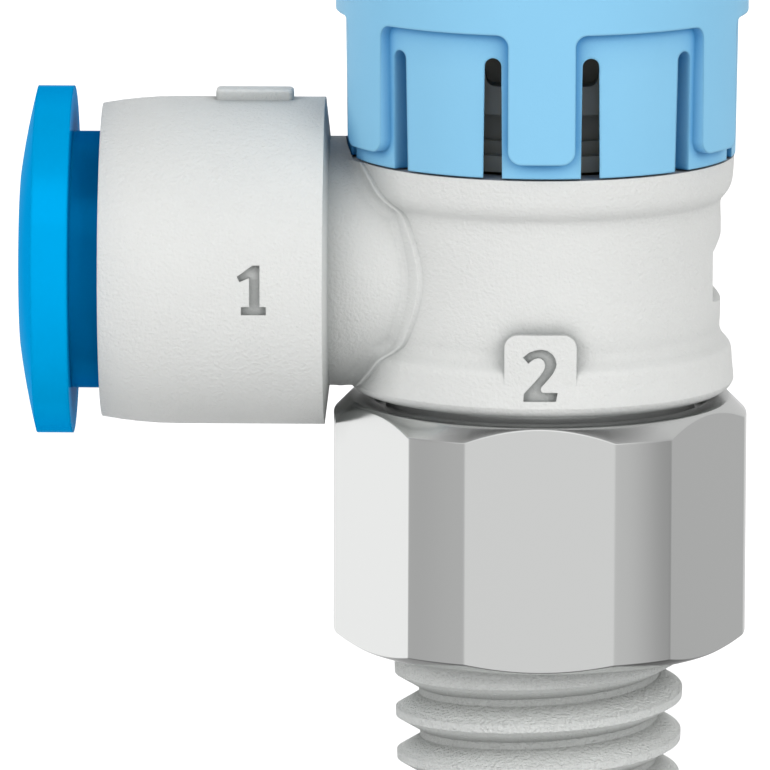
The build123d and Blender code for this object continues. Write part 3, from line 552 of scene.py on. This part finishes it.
sweep.steps = sweep.render_steps = STEPS_A_TURN
bpy.ops.object.modifier_apply(modifier="sweep")
bpy.ops.object.mode_set(mode="EDIT")
clean_mesh()

# Its taper, and its last groove, which runs out to the full radius just under the hexagon
for vertex in thread.data.vertices:
    x, y, z = vertex.co / MM
    radius = (x * x + y * y) ** 0.5
    turned_by = degrees(atan2(y, x)) % 360
    groove_height = CREST_HEIGHT + (TURNS_BELOW + 0.5) * THREAD_PITCH + THREAD_PITCH * turned_by / 360
    if abs(z - groove_height) < THREAD_PITCH / 2:
        filled = min(max((turned_by - RUN_OUT_FROM) / RUN_OUT_OVER, 0), 1)
    else:
        filled = 1.0 if z > groove_height else 0.0
    radius += (THREAD_RADIUS - radius) * filled
    radius += THREAD_TAPER * z
    stretch = radius / (x * x + y * y) ** 0.5
    vertex.co.x *= stretch
    vertex.co.y *= stretch

# Its two flat ends, its bore, and the chamfer at its tip
bpy.ops.object.mode_set(mode="EDIT")
for level, up in ((THREAD_TOP, 1), (THREAD_END, -1)):
    bpy.ops.mesh.select_all(action="SELECT")
    bpy.ops.mesh.bisect(plane_co=point(0, 0, level), plane_no=(0, 0, up), use_fill=True, clear_outer=True,
                        threshold=ON_PLANE_WITHIN * MM)
bpy.ops.mesh.select_all(action="SELECT")
bpy.ops.mesh.fill_holes(sides=0)
clean_mesh()
cut(thread, rod(STUD_BORE, CUTTER_LENGTH, (0, 0, 0)))
cut(thread, turned("end_chamfer", [
    (CHAMFER_INNER, THREAD_END - CUTTER_OVERLAP), (CHAMFER_OUTER, THREAD_END - CUTTER_OVERLAP),
    (CHAMFER_OUTER, THREAD_END - CUTTER_OVERLAP + CHAMFER_OUTER - CHAMFER_INNER),
], steps=ROD_CORNERS))
alone(thread)
bpy.ops.object.shade_smooth_by_angle(angle=radians(THREAD_SMOOTH_ANGLE))
finish_in(thread, sealant)
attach(thread, "stud")


def engraved(name, outline, floor):
    """A cutter for one digit: its outline on the valve's front, cut down to a curved floor."""
    digit = drawn(name, [(across, DIGIT_CUT_FROM, up) for across, up in outline + outline[:1]])
    bpy.ops.mesh.remove_doubles(threshold=JOIN_WITHIN * MM)
    bpy.ops.mesh.edge_face_add()
    bpy.ops.mesh.extrude_region_move(TRANSFORM_OT_translate={"value": point(0, DIGIT_CUT_LENGTH, 0)})
    clean_mesh()
    cut(digit, floor)
    return digit


# Housing with the two port numbers sunk into it, one on the barrel and one on the pad
alone(nodes["housing"])
bpy.ops.object.duplicate()
shell = bpy.context.object
shell.name = shell.data.name = "numbered_housing"
bpy.ops.object.mode_set(mode="EDIT")
bpy.ops.mesh.select_all(action="SELECT")
bpy.ops.mesh.remove_doubles(threshold=JOIN_WITHIN * MM)
bpy.ops.object.mode_set(mode="OBJECT")
barrel_floor = rod(BARREL_RADIUS - DIGIT_DEPTH, BARREL_REACH, (BARREL_MIDDLE, 0, PORT_HEIGHT),
                   (0, QUARTER_TURN, 0))
cut(shell, engraved("port_one", DIGIT_ONE, barrel_floor))
pad_floor = rod(PAD_RADIUS - DIGIT_DEPTH, CUTTER_LENGTH, (0, 0, 0))
cut(shell, engraved("port_two", DIGIT_TWO, pad_floor))
smooth_as(shell, nodes["housing"])
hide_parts("housing")
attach(shell, "housing")


def painted_surroundings(tree, direction, ring):
    """A painted brightness in a direction, which only reflections see in place of the studio."""
    round_about = put(tree, "ShaderNodeTexGradient", {"Vector": direction}, gradient_type="RADIAL")
    steps = put(tree, "ShaderNodeValToRGB", {"Fac": round_about.outputs["Fac"]})
    ramp = steps.color_ramp
    ramp.interpolation = "EASE"
    for number, (position, brightness) in enumerate(ring):
        step = ramp.elements[number] if number < 2 else ramp.elements.new(position)
        step.position = position
        step.color = (brightness, brightness, brightness, 1)
    return steps.outputs["Color"]


# Floor just under the thread's end. The camera sees it white, and it keeps the shadow
bpy.ops.object.select_all(action="DESELECT")
bpy.ops.mesh.primitive_plane_add(size=FLOOR_SIZE * MM, location=(0, 0, cad_box[0].z - FLOOR_GAP * MM))
floor = bpy.context.object
floor.name = "studio_floor"
floor_paint, tree, out = new_material("white_card")
rays = put(tree, "ShaderNodeLightPath")
place = put(tree, "ShaderNodeTexCoord").outputs["Object"]
card = put(tree, "ShaderNodeBsdfDiffuse", {"Color": linear("#e6e6e6")})
lift = put(tree, "ShaderNodeMath", {0: rays.outputs["Is Camera Ray"], 1: FLOOR_LIFT}, operation="MULTIPLY")
glow = put(tree, "ShaderNodeEmission", {"Color": (1, 1, 1, 1), "Strength": lift.outputs["Value"]})
seen = put(tree, "ShaderNodeAddShader", {0: card.outputs["BSDF"], 1: glow.outputs["Emission"]})
# Painted shadow: what reflections see of the floor darkens towards the stud's axis
from_axis = put(tree, "ShaderNodeVectorMath", {0: place}, operation="LENGTH")
painted_floor_shadow = put(tree, "ShaderNodeMapRange", {
    "Value": from_axis.outputs["Value"], "From Min": SHADOW_PAINT_START * MM, "From Max": SHADOW_PAINT_END * MM,
    "To Min": PAINTED_SHADOW_TONE, "To Max": 1.0,
})
# Painted reflection: glossy rays see this painted ramp, with its painted shadow, in place of the lit floor
painted_reflection = put(tree, "ShaderNodeEmission", {"Color": painted_surroundings(tree, place, BELOW_LEVEL),
                                            "Strength": painted_floor_shadow.outputs["Result"]})
both = put(tree, "ShaderNodeMixShader", {"Fac": rays.outputs["Is Glossy Ray"], 1: seen.outputs["Shader"],
                                         2: painted_reflection.outputs["Emission"]})
tree.links.new(both.outputs["Shader"], out.inputs["Surface"])
floor.data.materials.append(floor_paint)

# White light tent, a little stronger from the front. The camera sees it white
world = bpy.data.worlds.new("studio")
bpy.context.scene.world = world
world.use_nodes = True
tree = world.node_tree
tree.nodes.clear()
rays = put(tree, "ShaderNodeLightPath")
direction = put(tree, "ShaderNodeTexCoord").outputs["Generated"]
facing = put(tree, "ShaderNodeVectorMath", {0: direction, 1: (0.0, -1.0, 0.0)}, operation="DOT_PRODUCT")
ahead = put(tree, "ShaderNodeMath", {0: facing.outputs["Value"], 1: 0.0}, operation="MAXIMUM")
tent = put(tree, "ShaderNodeMath", {0: ahead.outputs["Value"], 1: FRONT_LIGHT, 2: TENT_LIGHT},
           operation="MULTIPLY_ADD")
strength = put(tree, "ShaderNodeMix", {"Factor": rays.outputs["Is Camera Ray"], "A": tent.outputs["Value"],
                                       "B": 1.0}, data_type="FLOAT")
plain = put(tree, "ShaderNodeBackground", {"Color": (1, 1, 1, 1), "Strength": strength.outputs["Result"]})

# Painted reflections: what reflections see in place of the tent, the ring above level, a bright front panel
# as a painted highlight and a darker painted ceiling
parts = put(tree, "ShaderNodeSeparateXYZ", {"Vector": direction})
in_height = put(tree, "ShaderNodeMath", {0: parts.outputs["Z"], 1: PANEL_MIDDLE, 2: PANEL_HALF},
                operation="COMPARE")
in_front = put(tree, "ShaderNodeMath", {0: parts.outputs["Y"], 1: PANEL_EDGE}, operation="LESS_THAN")
painted_panel = put(tree, "ShaderNodeMath", {0: in_height.outputs["Value"], 1: in_front.outputs["Value"]},
            operation="MULTIPLY")
painted_ceiling = put(tree, "ShaderNodeMapRange", {
    "Value": parts.outputs["Z"], "From Min": CEILING_START, "From Max": CEILING_END, "To Min": 1.0,
    "To Max": PAINTED_CEILING_TONE,
})
glare = put(tree, "ShaderNodeMath", {0: painted_panel.outputs["Value"], 1: PAINTED_PANEL_HIGHLIGHT,
                                     2: painted_ceiling.outputs["Result"]}, operation="MULTIPLY_ADD")
painted_reflection = put(tree, "ShaderNodeBackground", {"Color": painted_surroundings(tree, direction, ABOVE_LEVEL),
                                              "Strength": glare.outputs["Value"]})
both = put(tree, "ShaderNodeMixShader", {
    "Fac": rays.outputs["Is Glossy Ray"], 1: plain.outputs["Background"], 2: painted_reflection.outputs["Background"],
})
put(tree, "ShaderNodeOutputWorld", {"Surface": both.outputs["Shader"]})


def softbox(name, place_mm, watts):
    """A square area light that faces the middle of the valve. Polished metal sees only the painted
    surroundings.
    """
    bpy.ops.object.light_add(type="AREA", location=point(*place_mm))
    lamp = bpy.context.object
    lamp.name = name
    lamp.data.size = SOFTBOX_SIZE * MM
    lamp.data.energy = watts
    lamp.visible_glossy = False
    aim = Vector((0, 0, PORT_HEIGHT * MM)) - lamp.location
    lamp.rotation_euler = aim.to_track_quat("-Z", "Y").to_euler()


softbox("left_softbox", LEFT_PLACE, LEFT_WATTS)
softbox("right_softbox", RIGHT_PLACE, RIGHT_WATTS)
softbox("back_softbox", BACK_PLACE, BACK_WATTS)

# Camera, about 10 degrees above level, with the stud's axis right of the picture's middle
down, turn, roll = radians(TILT), radians(TURN), radians(ROLL)
look = Vector((-sin(turn) * cos(down), cos(turn) * cos(down), -sin(down)))
level = Vector((cos(turn), sin(turn), 0))
rise = level.cross(look)
right = level * cos(roll) + rise * sin(roll)
up = rise * cos(roll) - level * sin(roll)
eye = Vector((0, 0, AIM_HEIGHT)) - look * DISTANCE - right * (AXIS_PIXEL * DISTANCE / FOCAL_PIXELS)
camera_data = bpy.data.cameras.new("camera")
camera = bpy.data.objects.new("camera", camera_data)
bpy.context.scene.collection.objects.link(camera)
camera_data.sensor_width = SENSOR
camera_data.lens = FOCAL_PIXELS / PICTURE_PIXELS * SENSOR
camera_data.clip_start = NEAREST * MM
camera_data.clip_end = FARTHEST * MM
camera.matrix_world = Matrix.Translation(eye * MM) @ Matrix((right, up, -look)).transposed().to_4x4()
bpy.context.scene.camera = camera
bpy.context.scene.view_settings.view_transform = "Standard"
